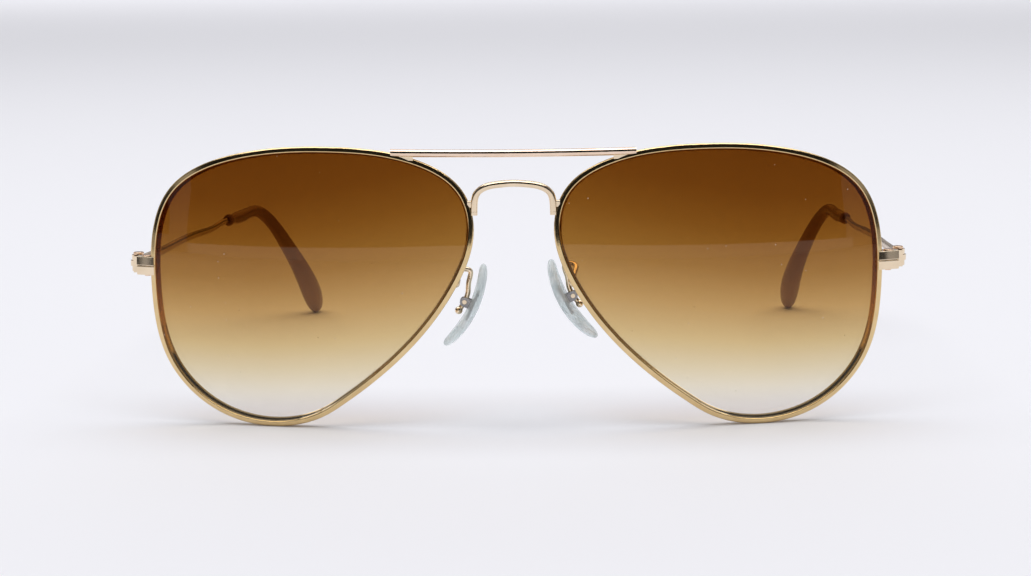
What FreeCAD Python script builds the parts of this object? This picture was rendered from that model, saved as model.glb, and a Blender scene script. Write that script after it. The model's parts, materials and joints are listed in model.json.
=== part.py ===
import FreeCAD, Part
import math
import os

# Aviator sunglasses standing on a flat surface, millimetres.
# X runs along the front, Y back towards the temple tips, Z up from the surface.
# "left" is the -X side.

V = FreeCAD.Vector

# ---- lens and rim ----
LENS_X = 37.33          # boxing centre of one lens from the middle
LENS_Y = -61.4          # front pole of the lens
LENS_Z = 25.68
WRAP = 5.09             # degrees, outer side swept back
LENS_R = 88.0           # base curve of the mid surface
LENS_T = 1.8
GROOVE_LINE = [         # bottom of the rim groove, u to the temple, v up
    (-3.9, -21.6), (6.6, -24.9), (19.1, -21.6), (26.2, -13.9),
    (28.9, -0.1), (25.6, 17.0), (10.3, 24.1), (-4.3, 24.9),
    (-18.7, 22.7), (-27.3, 16.8), (-29.0, 10.1), (-26.2, 1.1)]
RIM_OUT = 0.62          # outer face beyond the groove line
RIM_IN = 0.45           # lips inside the groove line
RIM_HALF = 1.0          # half of the rim's front to back width
RIM_CORNER = 0.34       # outer corner radius
LIP_CORNER = 0.17
GROOVE_HALF = 0.38
LENS_GAP = 0.07         # between the bevel's edge and the groove
LENS_INSET = 0.14       # between the lips and the side of the lens
SLIT_V = 3.80           # height of the slit in the rim, from the lens centre
SLIT = 0.08

# ---- bridge and brow bar ----
BRIDGE_D = 1.28
BRIDGE_PATH = [(7.14, -58.50, 38.85), (7.07, -58.55, 40.90), (6.55, -58.65, 42.80),
               (5.00, -58.90, 43.92), (2.60, -59.10, 44.42), (0.0, -59.20, 44.60)]
BRIDGE_FOOT = (7.0, 8.3, -58.85, -57.95, 40.15, 41.45)
BAR_D = 1.40
BAR_HALF = 21.9
BAR_Y = -58.5
BAR_Z = 50.15
BAR_DIP = 0.20
SADDLE_L = 4.0

# ---- rim lock and hinge ----
LOCK_X0 = 65.85
LOCK_X1 = 69.70
LOCK_FRONT = -54.95     # front of the lock at its screw
LOCK_BACK = -52.20
LOCK_TURN = 20.0        # degrees its front face is swept back
LOCK_UPPER_LEAN = 8.0   # degrees the upper face looks up
LOCK_LOWER_LEAN = -3.0
LOCK_FACE_R = 37.0
LOCK_TOP = 31.15
LOCK_BOTTOM = 27.80
LOCK_SCREW_X = 67.80
LOCK_SCREW_Y = -53.55
LOCK_SCREW_D = 1.10
SCREW_HEAD_D = 1.90
SCREW_HEAD_H = 0.45
SCREW_HEAD_UP = 0.20    # lock screw head above its block
SCREW_PROUD = 0.25      # screw end below the block
END_IN_LEFT = 0.45      # the left lock and hinge sit this much further in
HINGE_X = 70.12
HINGE_Y = -49.90
HINGE_R = 1.25
HINGE_MID_R = 1.50
HINGE_BOTTOM = 27.90
KNUCKLE = 0.97
KNUCKLE_GAP = 0.045
LEAF_T = 0.70
PIN_D = 0.90
RUNNING_FIT = 0.05      # radial

# ---- temples ----
TEMPLE_PATH = [(70.42, -48.20, 29.40), (70.85, -30.0, 28.72), (70.80, -5.0, 27.75),
               (70.20, 22.0, 26.75), (69.60, 33.0, 26.38), (68.75, 40.5, 25.85),
               (67.55, 43.9, 23.60), (65.40, 47.9, 18.20), (63.10, 53.6, 10.00),
               (62.55, 61.0, 0.58)]
TEMPLE_SIZE = [         # share of the path, half width, half height
    (0.0, 0.62, 0.98), (0.05, 0.62, 0.95), (0.16, 0.58, 0.80),
    (0.36, 0.56, 0.72), (0.54, 0.52, 0.64), (0.57, 0.52, 0.60),
    (0.62, 0.50, 0.54), (0.68, 0.50, 0.54), (0.74, 0.50, 0.54),
    (0.80, 0.50, 0.54), (0.88, 0.50, 0.54), (0.95, 0.48, 0.52)]
TIP_SIZE = [
    (0.562, 1.12, 1.14), (0.575, 1.12, 1.14), (0.580, 0.98, 1.00),
    (0.600, 1.13, 1.17), (0.66, 1.20, 1.28), (0.72, 1.26, 1.36),
    (0.77, 1.32, 1.45), (0.82, 1.48, 1.68), (0.87, 1.75, 2.05),
    (0.91, 2.00, 2.45), (0.945, 2.15, 2.72), (0.972, 1.98, 2.55),
    (0.990, 1.48, 1.95), (1.0, 0.60, 0.85)]
BEND_Y = 40.5           # where the tips turn down
RISE_LEFT = 0.9         # the left temple stands this much higher at its bend
TIP_IN_LEFT = 3.9       # the left tip is set further in at its end
TIP_IN_FROM = 20.0
LEFT_REST = 4.0         # degrees the left temple is folded in as it stands
SLEEVE_GAP = 0.04

# ---- nose pads ----
PAD_LEFT = (7.56, -54.5, 21.6, 24.9)     # x, y, z of the pad centre, lean in degrees
PAD_RIGHT = (8.90, -54.5, 22.5, 28.9)
PAD_SPLAY = 2.0
PAD_PITCH = -4.0        # the pads lean back at the top
PAD_HALF_L = 8.6
PAD_DROP = 0.55         # the pad reaches this much lower than its clip's middle
PAD_HALF_W = 3.9
PAD_T = 1.8
PAD_BOW_R = 19.7
PAD_EDGE = 0.6
PIVOT_OUT = 1.90        # pad pivot from the pad's middle surface
LUG_T = 0.40
LUG_GAP = 1.30
LUG_R = 0.85
PAD_PIN_D = 0.80
ARM_D = 0.95
ARM_LOOP = (3.35, 5.6)  # out from the pad's middle and up along it
ARM_FOOT = (10.60, -59.65, 26.65)


def turn(vector, axis, angle):
    return FreeCAD.Rotation(axis, angle).multVec(vector)


WRAP_AXIS = turn(V(0, 1, 0), V(0, 0, 1), WRAP)
WRAP_SIDE = turn(V(1, 0, 0), V(0, 0, 1), WRAP)
LENS_CENTRE = V(LENS_X, LENS_Y, LENS_Z) + WRAP_AXIS * LENS_R


def on_lens(u, v, depth=0.0):
    """A point in the right lens's own axes, put in the part's frame."""
    return V(LENS_X, LENS_Y, LENS_Z + v) + WRAP_SIDE * u + WRAP_AXIS * depth


def sag(u, v):
    return LENS_R - math.sqrt(LENS_R ** 2 - u * u - v * v)


def spline(points, closed=False):
    curve = Part.BSplineCurve()
    curve.interpolate(points, PeriodicFlag=closed)
    return curve


OUTLINE = spline([V(u, v, 0) for u, v in GROOVE_LINE], True)


def outline_at(t, out=0.0):
    """Point (u, v) and outward normal of the lens outline moved out by `out`."""
    point, along = OUTLINE.getD1(t)
    normal = V(along.y, -along.x, 0).normalize()
    return point + normal * out, normal


def slit_parameters():
    """Parameters on both sides of the slit, the second one a turn later."""
    first, last = OUTLINE.FirstParameter, OUTLINE.LastParameter
    steps = 2000
    best = min((abs(outline_at(first + (last - first) * k / steps)[0].y - SLIT_V)
                + (0 if outline_at(first + (last - first) * k / steps)[0].x > 0 else 99), k)
               for k in range(steps))[1]
    middle = first + (last - first) * best / steps
    speed = OUTLINE.getD1(middle)[1].Length
    half = SLIT / 2 / speed
    return middle + half, middle - half + (last - first)


def wrap_parameter(t):
    period = OUTLINE.LastParameter - OUTLINE.FirstParameter
    while t > OUTLINE.LastParameter:
        t -= period
    return t


def section_point(t, r, a):
    """Point of a rim section: r outwards along the lens, a backwards square to it."""
    p, n = outline_at(wrap_parameter(t))
    base = on_lens(p.x, p.y, sag(p.x, p.y))
    back = (LENS_CENTRE - base).normalize()
    flat = WRAP_SIDE * n.x + V(0, 0, n.y)
    side = (flat - back * flat.dot(back)).normalize()
    return base + side * r + back * a


def arc(a, b, c):
    return Part.Arc(a, b, c).toShape()


def line(a, b):
    return Part.makeLine(a, b)


def rim():
    """Grooved wire swept round the lens, square to it all the way."""
    start, stop = slit_parameters()
    steps = 72
    places = [start + (stop - start) * k / steps for k in range(steps + 1)]
    spine = spline([section_point(t, 0, 0) for t in places])
    guide = spline([section_point(t, 0, 6.0) for t in places])
    slant = math.sqrt(0.5)

    def q(r, a):
        return section_point(start, r, a)

    def half(s):
        """Edges of the front (s = -1) or back half, from the groove outwards."""
        lip = RIM_HALF - LIP_CORNER
        lip_in = -RIM_IN + LIP_CORNER
        corner = RIM_HALF - RIM_CORNER
        corner_r = RIM_OUT - RIM_CORNER
        return [line(q(0, 0), q(-RIM_IN, s * GROOVE_HALF)),
                line(q(-RIM_IN, s * GROOVE_HALF), q(-RIM_IN, s * lip)),
                arc(q(-RIM_IN, s * lip),
                    q(lip_in - LIP_CORNER * slant, s * (lip + LIP_CORNER * slant)),
                    q(lip_in, s * RIM_HALF)),
                line(q(lip_in, s * RIM_HALF), q(corner_r, s * RIM_HALF)),
                arc(q(corner_r, s * RIM_HALF),
                    q(corner_r + RIM_CORNER * slant, s * (corner + RIM_CORNER * slant)),
                    q(RIM_OUT, s * corner))]

    corner = RIM_HALF - RIM_CORNER
    edges = half(-1) + [line(q(RIM_OUT, -corner), q(RIM_OUT, corner))] + half(1)[::-1]
    pipe = Part.BRepOffsetAPI.MakePipeShell(Part.Wire([spine.toShape()]))
    pipe.setAuxiliarySpine(Part.Wire([guide.toShape()]), True, 0)
    pipe.add(Part.Wire(Part.__sortEdges__(edges)), False, False)
    pipe.build()
    pipe.makeSolid()
    return pipe.shape()


def depth_of(point):
    return (point - on_lens(0, 0)).dot(WRAP_AXIS)


def edge_ring(r, a, depth=None):
    """Closed wire round the lens at (r, a), or carried on from there to a flat depth."""
    first, last = OUTLINE.FirstParameter, OUTLINE.LastParameter
    points = []
    for k in range(60):
        t = first + (last - first) * k / 60
        point = section_point(t, r, a)
        if depth is not None:
            back = section_point(t, r, a + 1.0) - point
            point = point + back * ((depth - depth_of(point)) / back.dot(WRAP_AXIS))
        points.append(point)
    return Part.Wire([spline(points, True).toShape()])


def lens():
    """Spherical shell with a V bevel round its edge."""
    side = -(RIM_IN + LENS_INSET)
    flank = GROOVE_HALF / RIM_IN * (-side - LENS_GAP)
    blank = Part.makeLoft([edge_ring(side, -flank, -2.5), edge_ring(side, -flank),
                           edge_ring(-LENS_GAP, 0), edge_ring(side, flank),
                           edge_ring(side, flank, 8.5)], True, True)
    body = blank.common(Part.makeSphere(LENS_R + LENS_T / 2, LENS_CENTRE))
    return largest(body.cut(Part.makeSphere(LENS_R - LENS_T / 2, LENS_CENTRE)))


def wire_along(points, diameter):
    curve = spline(points)
    start, along = curve.getD1(curve.FirstParameter)
    circle = Part.Wire([Part.makeCircle(diameter / 2, start, along)])
    return Part.Wire([curve.toShape()]).makePipeShell([circle], True, True)


def largest(shape):
    return max(shape.Solids, key=lambda s: s.Volume)


def brazed(shape, *neighbours):
    """The shape ground to fit the pieces it is brazed to."""
    for other in neighbours:
        shape = shape.cut(other)
    return largest(shape)


def rod(x, y, z0, z1, diameter):
    return Part.makeCylinder(diameter / 2, z1 - z0, V(x, y, z0))


def block(x0, x1, y0, y1, z0, z1):
    return Part.makeBox(x1 - x0, y1 - y0, z1 - z0, V(x0, y0, z0))


def rounded(shape, radius, keep):
    return shape.makeFillet(radius, [e for e in shape.Edges if keep(e)])


def mirrored(shape):
    return shape.mirror(V(0, 0, 0), V(1, 0, 0))


def bridge(rims):
    half = [V(*p) for p in BRIDGE_PATH]
    other = [V(-p.x, p.y, p.z) for p in reversed(half[:-1])]
    wire = wire_along(half + other, BRIDGE_D)
    foot = rounded(block(*BRIDGE_FOOT), 0.25, lambda e: e.BoundBox.XLength > 1)
    wire = wire.fuse([foot, mirrored(foot)])
    return brazed(wire, *rims)


def brow_bar(rims):
    spine = Part.Arc(V(-BAR_HALF, BAR_Y, BAR_Z), V(0, BAR_Y - 0.5, BAR_Z - BAR_DIP),
                     V(BAR_HALF, BAR_Y, BAR_Z)).toShape()
    circle = Part.Wire([Part.makeCircle(BAR_D / 2, V(-BAR_HALF, BAR_Y, BAR_Z), V(1, 0, 0))])
    bar = Part.Wire([spine]).makePipeShell([circle], True, True)
    return brazed(bar, *rims)


def saddle(rim_solid, bar, lens_solid):
    """Crescent of braze between the top of the rim and the bar."""
    pad = block(BAR_HALF - SADDLE_L, BAR_HALF, BAR_Y - 0.5, BAR_Y + 0.55, BAR_Z - 1.35, BAR_Z)
    return brazed(pad, rim_solid, bar, lens_solid)


LOCK_MIDDLE = LENS_Z + SLIT_V


def lock_face(lean):
    """Upright drum whose front gives a lock face its sweep, lean and slight crown."""
    turned, leaned = math.radians(LOCK_TURN), math.radians(lean)
    ahead = V(math.sin(turned), -math.cos(turned), 0)
    normal = ahead * math.cos(leaned) + V(0, 0, math.sin(leaned))
    axis = ahead * -math.sin(leaned) + V(0, 0, math.cos(leaned))
    middle = V(LOCK_SCREW_X, LOCK_FRONT, LOCK_MIDDLE) - normal * LOCK_FACE_R
    return Part.makeCylinder(LOCK_FACE_R, 30, middle - axis * 15, axis)


def lock_block(z0, z1, back, lean, inset, rim_solid):
    body = block(LOCK_X0 + inset, LOCK_X1, LOCK_BACK - 6, back, z0, z1).common(lock_face(lean))
    body = body.cut(rod(LOCK_SCREW_X, LOCK_SCREW_Y, 20, 40, LOCK_SCREW_D))
    body = rounded(body, 0.14, lambda e: e.BoundBox.YMax < LOCK_BACK - 1.5 and
                   e.BoundBox.XLength > 1 or e.BoundBox.XMin > LOCK_X1 - 0.01)
    body.translate(V(-inset, 0, 0))
    return brazed(body, rim_solid)


def lock_upper(inset, rim_solid):
    body = lock_block(LOCK_MIDDLE + SLIT / 2, LOCK_TOP, LOCK_BACK, LOCK_UPPER_LEAN,
                      inset, rim_solid)
    x = LOCK_SCREW_X - inset
    body = body.cut(rod(x, LOCK_SCREW_Y, 20, 40, LOCK_SCREW_D + 2 * RUNNING_FIT))
    seat = LOCK_TOP - SCREW_HEAD_H + SCREW_HEAD_UP
    return body.cut(rod(x, LOCK_SCREW_Y, seat, 40, SCREW_HEAD_D + 2 * RUNNING_FIT))


def lock_lower(inset, rim_solid):
    return lock_block(LOCK_BOTTOM, LOCK_MIDDLE - SLIT / 2, LOCK_BACK - 0.1,
                      LOCK_LOWER_LEAN, inset, rim_solid)


def screw(x, y, seat, end, diameter):
    """Slotted screw: `seat` is the underside of its head."""
    body = rod(x, y, end, seat + 0.1, diameter)
    head = rod(x, y, seat, seat + SCREW_HEAD_H, SCREW_HEAD_D)
    head = rounded(head, 0.12, lambda e: e.BoundBox.ZMin > seat + 0.3)
    slot = block(x - 2, x + 2, y - 0.15, y + 0.15, seat + SCREW_HEAD_H - 0.22, seat + 2)
    return body.fuse(head).cut(slot)


def knuckle_levels(index):
    low = HINGE_BOTTOM + index * (KNUCKLE + KNUCKLE_GAP)
    return low, low + KNUCKLE


HINGE_TOP = knuckle_levels(2)[1]


def hinge_front():
    """Leaf brazed to the back of the lock, with the upper and lower knuckles."""
    edge = HINGE_X + 0.55
    leaf = block(67.3, edge, LOCK_BACK, LOCK_BACK + LEAF_T, HINGE_BOTTOM, HINGE_TOP)
    parts = []
    for index in (0, 2):
        low, high = knuckle_levels(index)
        parts.append(rod(HINGE_X, HINGE_Y, low, high, 2 * HINGE_R))
        parts.append(block(HINGE_X - HINGE_R, edge, LOCK_BACK, HINGE_Y, low, high))
    body = leaf.fuse(parts).removeSplitter()
    return body.cut(rod(HINGE_X, HINGE_Y, 20, 40, PIN_D))


def hinge_temple():
    """Middle knuckle with the tongue that the temple is brazed round."""
    low, high = knuckle_levels(1)
    body = rod(HINGE_X, HINGE_Y, low, high, 2 * HINGE_MID_R)
    tongue = block(HINGE_X - 0.04, HINGE_X + 0.66, HINGE_Y, HINGE_Y + 4.4, low, high)
    body = body.fuse(tongue).removeSplitter()
    return body.cut(rod(HINGE_X, HINGE_Y, 20, 40, PIN_D + 2 * RUNNING_FIT))


def temple_curve(tip_in, rise):
    """Centre line of the right temple, with its end moved in and its bend raised."""
    start_y = TEMPLE_PATH[1][1]
    end_y, end_z = TEMPLE_PATH[-1][1:]
    points = []
    for x, y, z in TEMPLE_PATH:
        inward = max(0.0, (y - TIP_IN_FROM) / (end_y - TIP_IN_FROM)) ** 1.6
        if y < BEND_Y:
            up = max(0.0, (y - start_y) / (BEND_Y - start_y))
        else:
            up = (z - end_z) / (TEMPLE_PATH[-5][2] - end_z)
        points.append(V(x - tip_in * inward, y, z + rise * up))
    return spline(points)


def oval(curve, share, half_w, half_h):
    """Closed oval square to the curve at a share of its length."""
    t = curve.parameterAtDistance(curve.length() * share, curve.FirstParameter)
    centre, along = curve.getD1(t)
    side = along.cross(V(0, 0, 1)).normalize()
    up = side.cross(along).normalize()
    ring = []
    for k in range(16):
        a = math.radians(22.5 * k)
        ring.append(centre + side * (half_w * math.cos(a)) + up * (half_h * math.sin(a)))
    return Part.Wire([spline(ring, True).toShape()])


def along_temple(curve, sizes, grow=0.0):
    sections = [oval(curve, s, w + grow, h + grow) for s, w, h in sizes]
    return Part.makeLoft(sections, True, False)


def temple(tip_in, rise):
    """Hinge knuckle, arm and tip of the right temple, straight back."""
    curve = temple_curve(tip_in, rise)
    knuckle = hinge_temple()
    arm = along_temple(curve, TEMPLE_SIZE)
    tip = along_temple(curve, TIP_SIZE).cut(along_temple(curve, TEMPLE_SIZE, SLEEVE_GAP))
    return knuckle, largest(arm.cut(knuckle)), largest(tip)


def pad_frame(spec):
    x, y, z, lean = spec
    rotation = FreeCAD.Rotation(V(1, 0, 0), PAD_PITCH)
    rotation = rotation.multiply(FreeCAD.Rotation(V(0, 1, 0), -lean))
    rotation = rotation.multiply(FreeCAD.Rotation(V(0, 0, 1), -PAD_SPLAY))
    return FreeCAD.Placement(V(x, y, z), rotation)


def pad_insert():
    """Plate bedded in the pad, with two lugs for the pin, in the pad's own axes."""
    plate = block(0.05, 0.50, -1.6, 1.6, -2.9, 2.9)
    plate = rounded(plate, 0.7, lambda e: e.BoundBox.XLength > 0.3)
    for side in (-1, 1):
        middle = side * (LUG_GAP + LUG_T) / 2
        lug = block(0.3, PIVOT_OUT, middle - LUG_T / 2, middle + LUG_T / 2, -LUG_R, LUG_R)
        eye = Part.makeCylinder(LUG_R, LUG_T, V(PIVOT_OUT, middle - LUG_T / 2, 0), V(0, 1, 0))
        plate = plate.fuse([lug, eye])
    hole = Part.makeCylinder(PAD_PIN_D / 2 + RUNNING_FIT, 4, V(PIVOT_OUT, -2, 0), V(0, 1, 0))
    return plate.removeSplitter().cut(hole)


def pad_body(insert):
    axis_x = PAD_BOW_R
    outer = Part.makeCylinder(PAD_BOW_R + PAD_T / 2, 12, V(axis_x, -6, 0), V(0, 1, 0))
    inner = Part.makeCylinder(PAD_BOW_R - PAD_T / 2, 12, V(axis_x, -6, 0), V(0, 1, 0))
    ring = []
    for k in range(16):
        a = math.radians(22.5 * k)
        width = PAD_HALF_W * (1 - 0.10 * math.sin(a))
        ring.append(V(-3, width * math.cos(a), PAD_HALF_L * math.sin(a) - PAD_DROP))
    outline = Part.Face(Part.Wire([spline(ring, True).toShape()]))
    body = outline.extrude(V(8, 0, 0)).common(outer).cut(inner)
    body = largest(body)
    body = body.makeFillet(PAD_EDGE, [e for e in body.Edges if e.Length > 15])
    return body.cut(insert)


def pad_arm(place, rim_solid):
    """Wire from the back of the rim, round a loop to the pad's cross pin."""
    def at(x, z):
        return place.multVec(V(x, 0, z))

    foot = V(*ARM_FOOT)
    loop = at(*ARM_LOOP)
    outer = loop + V(1.65, -0.75, 0.25)
    middle = (foot + outer) * 0.5 + V(0.05, 0.25, -0.25)
    wire = wire_along([foot, middle, outer, loop, at(2.7, 3.7), at(1.98, 1.6),
                       at(PIVOT_OUT, 0), at(2.2, -1.9)], ARM_D)
    pin = Part.makeCylinder(PAD_PIN_D / 2, LUG_GAP + 2 * LUG_T + 0.2,
                            V(PIVOT_OUT, -(LUG_GAP / 2 + LUG_T + 0.1), 0), V(0, 1, 0))
    pin.Placement = place.multiply(pin.Placement)
    ball = Part.makeSphere(0.72, at(2.2, -1.9))
    bead = Part.makeSphere(0.80, foot)
    return brazed(wire.fuse([pin, ball, bead]), rim_solid)


def pad_unit(spec, rim_solid, lens_solid):
    place = pad_frame(spec)
    insert = pad_insert()
    body = pad_body(insert)
    insert.Placement = place
    body.Placement = place
    arm = largest(pad_arm(place, rim_solid).cut(lens_solid))
    return body, insert, arm


def about_left_hinge(shape):
    shape.rotate(V(-HINGE_X, HINGE_Y, 0), V(0, 0, -1), LEFT_REST)
    return shape


def moved_in(shape):
    """A mirrored piece of the left end, set in towards the middle."""
    shape.translate(V(END_IN_LEFT, 0, 0))
    return shape


def build():
    nodes = {}
    right = rim()
    left = mirrored(right)
    nodes["rim_left"], nodes["rim_right"] = left, right
    glass = lens()
    nodes["lens_left"], nodes["lens_right"] = mirrored(glass), glass
    nodes["bridge"] = bridge([left, right])
    bar = brow_bar([left, right])
    nodes["brow_bar"] = bar
    seat = saddle(right, bar, glass)
    nodes["brow_bar_saddle_left"], nodes["brow_bar_saddle_right"] = mirrored(seat), seat

    for name, make in (("rim_lock_upper", lock_upper), ("rim_lock_lower", lock_lower)):
        nodes[name + "_right"] = make(0.0, right)
        nodes[name + "_left"] = mirrored(make(END_IN_LEFT, right))

    ends = {"rim_lock_screw": screw(LOCK_SCREW_X, LOCK_SCREW_Y,
                                    LOCK_TOP - SCREW_HEAD_H + SCREW_HEAD_UP,
                                    LOCK_BOTTOM - SCREW_PROUD, LOCK_SCREW_D),
            "hinge_front": hinge_front(),
            "hinge_screw": screw(HINGE_X, HINGE_Y, HINGE_TOP,
                                 HINGE_BOTTOM - SCREW_PROUD, PIN_D)}
    for name, shape in ends.items():
        nodes[name + "_right"] = shape
        nodes[name + "_left"] = moved_in(mirrored(shape))

    names = ("hinge_temple", "temple_arm", "temple_tip")
    for name, shape in zip(names, temple(0.0, 0.0)):
        nodes[name + "_right"] = shape
    for name, shape in zip(names, temple(TIP_IN_LEFT, RISE_LEFT)):
        nodes[name + "_left"] = moved_in(about_left_hinge(mirrored(shape)))

    names = ("nose_pad", "pad_insert", "pad_arm")
    for name, shape in zip(names, pad_unit(PAD_RIGHT, right, glass)):
        nodes[name + "_right"] = shape
    for name, shape in zip(names, pad_unit(PAD_LEFT, right, glass)):
        nodes[name + "_left"] = mirrored(shape)
    return nodes


os.makedirs("parts", exist_ok=True)
for name, shape in sorted(build().items()):
    if shape.ShapeType == "Compound" and len(shape.Solids) == 1:
        shape = shape.Solids[0]
    box = shape.BoundBox
    print("%-24s %-8s valid %s  vol %9.3f  x %7.2f %7.2f  y %7.2f %7.2f  z %6.2f %6.2f" % (
        name, shape.ShapeType, shape.isValid(), shape.Volume,
        box.XMin, box.XMax, box.YMin, box.YMax, box.ZMin, box.ZMax))
    shape.exportStep("parts/%s.step" % name)
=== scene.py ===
import json
import math

import bpy
from mathutils import Matrix, Vector


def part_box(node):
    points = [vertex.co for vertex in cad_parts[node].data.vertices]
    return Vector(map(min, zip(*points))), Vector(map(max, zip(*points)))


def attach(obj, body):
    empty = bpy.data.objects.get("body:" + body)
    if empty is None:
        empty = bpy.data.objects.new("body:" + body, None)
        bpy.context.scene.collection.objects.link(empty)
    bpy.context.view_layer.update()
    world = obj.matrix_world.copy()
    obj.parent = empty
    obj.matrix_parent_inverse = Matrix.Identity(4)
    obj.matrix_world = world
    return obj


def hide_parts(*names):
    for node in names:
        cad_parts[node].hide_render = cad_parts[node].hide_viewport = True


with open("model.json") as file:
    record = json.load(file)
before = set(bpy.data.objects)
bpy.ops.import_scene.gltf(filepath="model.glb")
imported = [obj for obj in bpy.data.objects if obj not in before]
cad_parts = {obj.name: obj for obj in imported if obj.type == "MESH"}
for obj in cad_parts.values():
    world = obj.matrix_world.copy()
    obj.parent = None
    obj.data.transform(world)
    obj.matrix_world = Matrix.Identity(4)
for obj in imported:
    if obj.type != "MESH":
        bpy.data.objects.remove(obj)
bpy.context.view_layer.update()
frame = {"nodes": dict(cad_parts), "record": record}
nodes = frame["nodes"]
scene = bpy.context.scene
MM = 0.001

# ---- nose pads: the design's places and shape, 0.05 mm smaller so they stay inside it ----
PAD_HALF_LENGTH = 8.55 * MM
PAD_DROP = 0.55 * MM
PAD_HALF_WIDTH = 3.85 * MM
PAD_THICKNESS = 1.75 * MM
PAD_BOW = 19.7 * MM
PAD_TAPER = 0.10
PAD_BLUNT = 9
PAD_PITCH = -4.0
# The middle in millimetres, then the lean and the splay in degrees. The right pad is splayed
# 3 degrees more than in the design.
PAD_PLACES = {"left": ((7.56, -54.5, 21.6), 24.9, 2.0),
              "right": ((8.90, -54.5, 22.5), 28.9, 5.0)}
PAD_ROUNDS = 72
PAD_RINGS = 14

# ---- lenses ----
LENS_STOPS = [
    (0.00, (0.970, 0.970, 0.970)), (0.06, (0.945, 0.930, 0.900)), (0.12, (0.910, 0.875, 0.790)),
    (0.20, (0.875, 0.805, 0.650)), (0.30, (0.820, 0.700, 0.480)), (0.42, (0.725, 0.560, 0.325)),
    (0.55, (0.590, 0.405, 0.175)), (0.70, (0.488, 0.295, 0.102)), (0.82, (0.425, 0.235, 0.072)),
    (1.00, (0.390, 0.205, 0.058))]
NOSE_SIDE = (0.008, 0.045)          # where the lens is drawn paler towards the nose
NOSE_SIDE_SHIFT = 0.84
SHEEN_STRAIGHT_ON = 0.030           # share mirrored straight on; it rises to 1 at a grazing view
SHEEN_POWER = 5.0
DUST_SHARE = 0.60

# ---- studio ----
FLOOR_SIDE = 4
FLOOR_FRONT = -1.10
FLOOR_BACK = 7.0
DARK_LEFT = -1.29
DARK_RIGHT = 1.20
DARK_BOTTOM = 0.066
DARK_TOP = 2.20
SIDE_FAR = 1.2
SIDE_ANGLES = (math.radians(54.5), math.radians(80.0))
SIDE_BOTTOM = 0.085
STRIP_BEHIND = 0.02                 # how far the front strip stands beyond the dark card


# ---------------------------------------------------------------- materials
def new_material(name):
    """An empty material, its node tree and its output node."""
    material = bpy.data.materials.new(name)
    material.use_nodes = True
    tree = material.node_tree
    tree.nodes.clear()
    out = tree.nodes.new("ShaderNodeOutputMaterial")
    return material, tree, out


def add(tree, kind, **values):
    """A node with its sockets or settings given by name."""
    node = tree.nodes.new(kind)
    for key, value in values.items():
        if key in node.inputs:
            node.inputs[key].default_value = value
        else:
            setattr(node, key, value)
    return node


def wire(tree, a, socket_a, b, socket_b):
    tree.links.new(a.outputs[socket_a], b.inputs[socket_b])


def noise(tree, scale, detail):
    place = add(tree, "ShaderNodeTexCoord")
    field = add(tree, "ShaderNodeTexNoise", Scale=scale, Detail=detail)
    wire(tree, place, "Object", field, "Vector")
    return field


def remap(tree, source, socket, low, high, frm=(0.0, 1.0)):
    """A value moved from the range `frm` to low...high, held at the ends."""
    node = add(tree, "ShaderNodeMapRange")
    node.inputs["From Min"].default_value = frm[0]
    node.inputs["From Max"].default_value = frm[1]
    node.inputs["To Min"].default_value = low
    node.inputs["To Max"].default_value = high
    wire(tree, source, socket, node, "Value")
    return node


def blended(tree, source, colours, frm=(0.0, 1.0)):
    """Two colours mixed by a field."""
    mix = add(tree, "ShaderNodeMix", data_type="RGBA")
    mix.inputs["A"].default_value = (*colours[0], 1)
    mix.inputs["B"].default_value = (*colours[1], 1)
    share = remap(tree, source, "Fac", 0.0, 1.0, frm)
    wire(tree, share, "Result", mix, "Factor")
    return mix.outputs[2]


def metal(name, colour, darker, rough, grain):
    """Polished metal with faint polishing marks and a slight drift of tone."""
    material, tree, out = new_material(name)
    shader = add(tree, "ShaderNodeBsdfPrincipled", Metallic=1.0)
    tone = blended(tree, noise(tree, 260.0, 2.0), (colour, darker), (0.35, 0.75))
    tree.links.new(tone, shader.inputs["Base Color"])
    marks = noise(tree, 3200.0, 4.0)
    polish = remap(tree, marks, "Fac", rough, rough + grain, (0.3, 0.8))
    wire(tree, polish, "Result", shader, "Roughness")
    bump = add(tree, "ShaderNodeBump", Strength=0.05, Distance=0.00002)
    wire(tree, marks, "Fac", bump, "Height")
    wire(tree, bump, "Normal", shader, "Normal")
    wire(tree, shader, "BSDF", out, "Surface")
    return material


def speck_mask(tree, scale, size, seldom):
    """One where a speck of dust lies: small cells, few of them kept."""
    place = add(tree, "ShaderNodeTexCoord")
    cells = add(tree, "ShaderNodeTexVoronoi", Scale=scale)
    wire(tree, place, "Object", cells, "Vector")
    near = remap(tree, cells, "Distance", 1.0, 0.0, (size * 0.6, size))
    pick = add(tree, "ShaderNodeSeparateColor")
    wire(tree, cells, "Color", pick, "Color")
    kept = remap(tree, pick, "Red", 0.0, 1.0, (seldom, seldom + 0.01))
    both = add(tree, "ShaderNodeMath", operation="MULTIPLY")
    wire(tree, near, "Result", both, 0)
    wire(tree, kept, "Result", both, 1)
    return both


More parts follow.
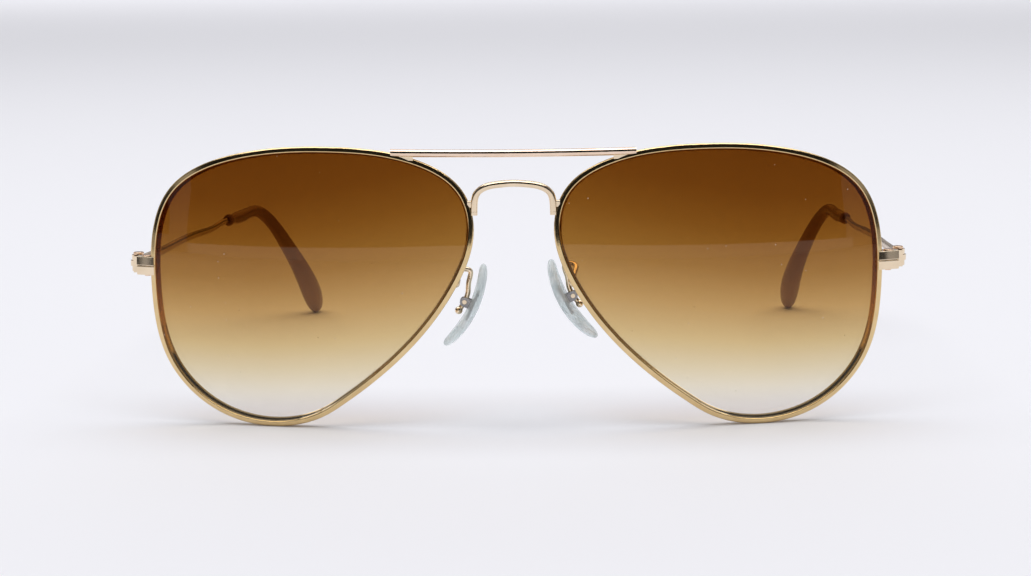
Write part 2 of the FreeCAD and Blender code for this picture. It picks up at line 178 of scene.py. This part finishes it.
def gradient_lens(name, bottom, top):
    """Tinted lens, brown at the top and almost clear at the bottom, with a thin gloss."""
    material, tree, out = new_material(name)
    place = add(tree, "ShaderNodeTexCoord")
    split = add(tree, "ShaderNodeSeparateXYZ")
    wire(tree, place, "Object", split, "Vector")
    height = remap(tree, split, "Z", 0.0, 1.0, (bottom, top))
    across = add(tree, "ShaderNodeMath", operation="ABSOLUTE")
    wire(tree, split, "X", across, "Value")
    paler = remap(tree, across, "Value", NOSE_SIDE_SHIFT, 1.0, NOSE_SIDE)
    shifted = add(tree, "ShaderNodeMath", operation="MULTIPLY")
    wire(tree, height, "Result", shifted, 0)
    wire(tree, paler, "Result", shifted, 1)
    ramp = add(tree, "ShaderNodeValToRGB")
    band = ramp.color_ramp
    band.elements[0].position, first = LENS_STOPS[0]
    band.elements[0].color = (*first, 1)
    band.elements[1].position, last = LENS_STOPS[-1]
    band.elements[1].color = (*last, 1)
    for at, colour in LENS_STOPS[1:-1]:
        element = band.elements.new(at)
        element.color = (*colour, 1)
    wire(tree, shifted, "Value", ramp, "Fac")
    clear = add(tree, "ShaderNodeBsdfTransparent")
    wire(tree, ramp, "Color", clear, "Color")
    gloss = add(tree, "ShaderNodeBsdfGlossy", Roughness=0.0)
    gloss.inputs["Color"].default_value = (1.0, 0.92, 0.80, 1)
    facing = add(tree, "ShaderNodeLayerWeight", Blend=0.5)
    grazing = add(tree, "ShaderNodeMath", operation="POWER")
    wire(tree, facing, "Facing", grazing, 0)
    grazing.inputs[1].default_value = SHEEN_POWER
    sheen = remap(tree, grazing, "Value", SHEEN_STRAIGHT_ON, 1.0)
    mix = add(tree, "ShaderNodeMixShader")
    wire(tree, sheen, "Result", mix, "Fac")
    wire(tree, clear, "BSDF", mix, 1)
    wire(tree, gloss, "BSDF", mix, 2)
    dust = add(tree, "ShaderNodeBsdfDiffuse")
    dust.inputs["Color"].default_value = (0.75, 0.70, 0.62, 1)
    dusty = add(tree, "ShaderNodeMixShader")
    specks = speck_mask(tree, scale=900.0, size=0.11, seldom=0.94)
    share = remap(tree, specks, "Value", 0.0, DUST_SHARE)
    wire(tree, share, "Result", dusty, "Fac")
    wire(tree, mix, "Shader", dusty, 1)
    wire(tree, dust, "BSDF", dusty, 2)
    wire(tree, dusty, "Shader", out, "Surface")
    return material


def silicone(name):
    """Soft silicone: clear with milky clouds inside and a hazy skin."""
    material, tree, out = new_material(name)
    clear = add(tree, "ShaderNodeBsdfTransparent")
    clear.inputs["Color"].default_value = (0.90, 0.95, 0.95, 1)
    milky = add(tree, "ShaderNodeBsdfPrincipled")
    milky.inputs["Subsurface Weight"].default_value = 0.4
    milky.inputs["Subsurface Radius"].default_value = (0.0012, 0.0012, 0.0012)
    haze = noise(tree, 420.0, 4.0)
    tone = blended(tree, haze, ((0.72, 0.79, 0.81), (0.95, 0.97, 0.97)), (0.35, 0.65))
    tree.links.new(tone, milky.inputs["Base Color"])
    rough = remap(tree, haze, "Fac", 0.10, 0.34)
    wire(tree, rough, "Result", milky, "Roughness")
    bump = add(tree, "ShaderNodeBump", Strength=0.15, Distance=0.00005)
    wire(tree, haze, "Fac", bump, "Height")
    wire(tree, bump, "Normal", milky, "Normal")
    mix = add(tree, "ShaderNodeMixShader")
    share = remap(tree, noise(tree, 230.0, 3.0), "Fac", 0.34, 0.72, (0.35, 0.65))
    wire(tree, share, "Result", mix, "Fac")
    wire(tree, clear, "BSDF", mix, 1)
    wire(tree, milky, "BSDF", mix, 2)
    wire(tree, mix, "Shader", out, "Surface")
    return material


def acetate(name, colour, deeper):
    """Clouded brown plastic, polished, a little see-through."""
    material, tree, out = new_material(name)
    shader = add(tree, "ShaderNodeBsdfPrincipled")
    cloud = noise(tree, 120.0, 3.0)
    tone = blended(tree, cloud, (colour, deeper))
    tree.links.new(tone, shader.inputs["Base Color"])
    shader.inputs["Transmission Weight"].default_value = 0.25
    shader.inputs["IOR"].default_value = 1.49
    rough = remap(tree, cloud, "Fac", 0.14, 0.26)
    wire(tree, rough, "Result", shader, "Roughness")
    wire(tree, shader, "BSDF", out, "Surface")
    return material


def matte(name, colour):
    material, tree, out = new_material(name)
    shader = add(tree, "ShaderNodeBsdfPrincipled", Roughness=0.9)
    shader.inputs["Base Color"].default_value = (*colour, 1)
    shader.inputs["Specular IOR Level"].default_value = 0.1
    wire(tree, shader, "BSDF", out, "Surface")
    return material


lens_low, lens_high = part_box("lens_left")
# The frame's one gold plating in copies per part. The rims' deeper gold and the temple arms'
# darker gold are painted shade. The brow bar's pinker gold is a painted highlight.
RIM_GOLD_PAINTED_SHADE = metal("gold_rim_painted_shade", (0.80, 0.60, 0.32), (0.72, 0.52, 0.26), 0.08, 0.05)
BAR_GOLD_PAINTED_HIGHLIGHT = metal("gold_bar_painted_highlight", (0.92, 0.73, 0.58), (0.84, 0.64, 0.48), 0.08, 0.05)
TEMPLE_GOLD_PAINTED_SHADE = metal("gold_temple_painted_shade", (0.62, 0.47, 0.31), (0.52, 0.38, 0.24), 0.14, 0.08)
# Parts drawn in these painted-light copies of the gold instead of the frame's own gold
GOLD_COPIES_PAINTED_LIGHT = {"rim_left": RIM_GOLD_PAINTED_SHADE, "rim_right": RIM_GOLD_PAINTED_SHADE, "brow_bar": BAR_GOLD_PAINTED_HIGHLIGHT,
             "temple_arm_left": TEMPLE_GOLD_PAINTED_SHADE, "temple_arm_right": TEMPLE_GOLD_PAINTED_SHADE}
MATERIALS = {
    "frame_gold": metal("gold_polished", (0.90, 0.74, 0.54), (0.82, 0.66, 0.46), 0.09, 0.05),
    "screw_gold": metal("gold_screws", (0.86, 0.60, 0.40), (0.70, 0.46, 0.30), 0.16, 0.08),
    "lens_gradient": gradient_lens("lens_gradient", lens_low.z, lens_high.z),
    "tip_acetate": acetate("tip_acetate", (0.50, 0.30, 0.22), (0.36, 0.19, 0.15)),
    "pad_silicone": silicone("pad_silicone"),
    "pad_metal": metal("pad_clip_metal", (0.40, 0.38, 0.37), (0.26, 0.26, 0.27), 0.20, 0.16),
}
for part in frame["record"]["subparts"]:
    thing = nodes[part["node"]]
    thing.data.materials.clear()
    thing.data.materials.append(GOLD_COPIES_PAINTED_LIGHT.get(part["node"], MATERIALS[part["material_slot"]]))


def new_object(name, points, faces, material):
    mesh = bpy.data.meshes.new(name)
    mesh.from_pydata(points, [], faces)
    mesh.materials.append(material)
    thing = bpy.data.objects.new(name, mesh)
    scene.collection.objects.link(thing)
    return thing


# ---------------------------------------------------------------- nose pads
def turned(degrees, axis):
    return Matrix.Rotation(math.radians(degrees), 4, axis)


def pad_place(place, lean, splay):
    """Where the right-hand pad stands: X out from the nose, Y back, Z up along the pad."""
    return (Matrix.Translation(Vector(place) * MM) @ turned(PAD_PITCH, "X")
            @ turned(-lean, "Y") @ turned(-splay, "Z"))


def pad_point(round_share, out_share, face):
    """Point of a crowned pad: `face` is +1 or -1, `out_share` 0 at the middle, 1 at the edge."""
    a = 2 * math.pi * round_share
    width = PAD_HALF_WIDTH * (1 - PAD_TAPER * math.sin(a))
    y = out_share * width * math.cos(a)
    z = out_share * PAD_HALF_LENGTH * math.sin(a) - PAD_DROP
    half = PAD_THICKNESS / 2 * math.sqrt(max(0.0, 1 - out_share ** PAD_BLUNT))
    r = PAD_BOW - face * half
    angle = z / PAD_BOW
    return Vector((PAD_BOW - r * math.cos(angle), y, r * math.sin(angle)))


def nose_pad(side):
    """Soft oval pad, thick in the middle and round at its edge."""
    sign = -1 if side == "left" else 1
    place = pad_place(*PAD_PLACES[side])
    shares = [math.sin(math.pi / 2 * k / PAD_RINGS) for k in range(PAD_RINGS + 1)]
    points, faces = [], []

    def put(point):
        world = place @ point
        points.append((sign * world.x, world.y, world.z))
        return len(points) - 1

    def ring(share, face):
        return [put(pad_point(k / PAD_ROUNDS, share, face)) for k in range(PAD_ROUNDS)]

    loops = [[put(pad_point(0, 0, 1))] * PAD_ROUNDS]
    loops += [ring(share, 1) for share in shares[1:]]
    loops += [ring(share, -1) for share in shares[-2:0:-1]]
    loops.append([put(pad_point(0, 0, -1))] * PAD_ROUNDS)
    for inner, outer in zip(loops[:-1], loops[1:]):
        for k in range(PAD_ROUNDS):
            m = (k + 1) % PAD_ROUNDS
            corners = list(dict.fromkeys((inner[k], outer[k], outer[m], inner[m])))
            faces.append(corners if sign > 0 else corners[::-1])
    pad = new_object("soft_pad_" + side, points, faces, MATERIALS["pad_silicone"])
    pad.data.polygons.foreach_set("use_smooth", [True] * len(pad.data.polygons))
    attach(pad, "nose_pad_%s_body" % side)
    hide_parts("nose_pad_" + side)


for side in ("left", "right"):
    nose_pad(side)


# ---------------------------------------------------------------- stage
def plane(name, corners, material):
    new_object(name, corners, [tuple(range(len(corners)))], material)


def upright(a, b, low, high):
    """Corners of a standing card between two places on the floor."""
    return [(*a, low), (*b, low), (*b, high), (*a, high)]


def area(name, at, toward, size, power):
    """White softbox: width and height in metres, power in watts."""
    data = bpy.data.lights.new(name, "AREA")
    data.shape = "RECTANGLE"
    data.size, data.size_y = size
    data.energy = power
    thing = bpy.data.objects.new(name, data)
    scene.collection.objects.link(thing)
    thing.location = at
    thing.rotation_euler = (Vector(toward) - Vector(at)).to_track_quat("-Z", "Y").to_euler()


FLOOR_CORNERS = [(-FLOOR_SIDE, FLOOR_FRONT, 0), (FLOOR_SIDE, FLOOR_FRONT, 0),
                 (FLOOR_SIDE, FLOOR_BACK, 0), (-FLOOR_SIDE, FLOOR_BACK, 0)]
plane("floor", FLOOR_CORNERS, matte("floor_pale", (0.86, 0.86, 0.90)))
ROOM_DARK = matte("room_dark", (0.012, 0.012, 0.012))
plane("dark_card",
      upright((DARK_LEFT, FLOOR_FRONT), (DARK_RIGHT, FLOOR_FRONT), DARK_BOTTOM, DARK_TOP),
      ROOM_DARK)
for side, sign in (("left", -1), ("right", 1)):
    ends = [(sign * SIDE_FAR * math.sin(a), -SIDE_FAR * math.cos(a)) for a in SIDE_ANGLES]
    plane("dark_side_" + side, upright(*ends, SIDE_BOTTOM, DARK_TOP), ROOM_DARK)

world = bpy.data.worlds.new("world")
scene.world = world
world.use_nodes = True
background = world.node_tree.nodes["Background"]
background.inputs["Color"].default_value = (0.96, 0.96, 1.0, 1)
background.inputs["Strength"].default_value = 0.36

area("softbox_top", (0, -0.20, 1.6), (0, -0.20, 0), (2.6, 1.7), 32.0)
area("softbox_far", (0, 4.0, 1.5), (0, 4.0, 0), (7.0, 3.6), 78.0)
strip_middle = DARK_BOTTOM / 2
area("front_strip", (0, FLOOR_FRONT - STRIP_BEHIND, strip_middle), (0, 0, strip_middle),
     (2.6, DARK_BOTTOM), 0.32)


# ---------------------------------------------------------------- camera
def camera(elevation, yaw, roll, distance, target, lens):
    """Camera looking at a target: angles in degrees, distance in metres, lens in millimetres."""
    e, a, r = (math.radians(v) for v in (elevation, yaw, roll))
    back = Vector((math.sin(a) * math.cos(e), -math.cos(a) * math.cos(e), math.sin(e)))
    right = (-back).cross(Vector((0, 0, 1))).normalized()
    up = right.cross(-back)
    across = right * math.cos(r) + up * math.sin(r)
    upward = up * math.cos(r) - right * math.sin(r)
    data = bpy.data.cameras.new("camera")
    data.lens = lens
    data.sensor_width = 36
    data.clip_start = 0.01
    thing = bpy.data.objects.new("camera", data)
    scene.collection.objects.link(thing)
    turn = Matrix((across, upward, back)).transposed().to_4x4()
    turn.translation = Vector(target) + back * distance
    thing.matrix_world = turn
    return thing


scene.camera = camera(elevation=9.71, yaw=1.39, roll=-0.67, distance=0.360,
                      target=(0.00030, -0.0644, 0.02653), lens=70.85)
scene.view_settings.view_transform = "Standard"
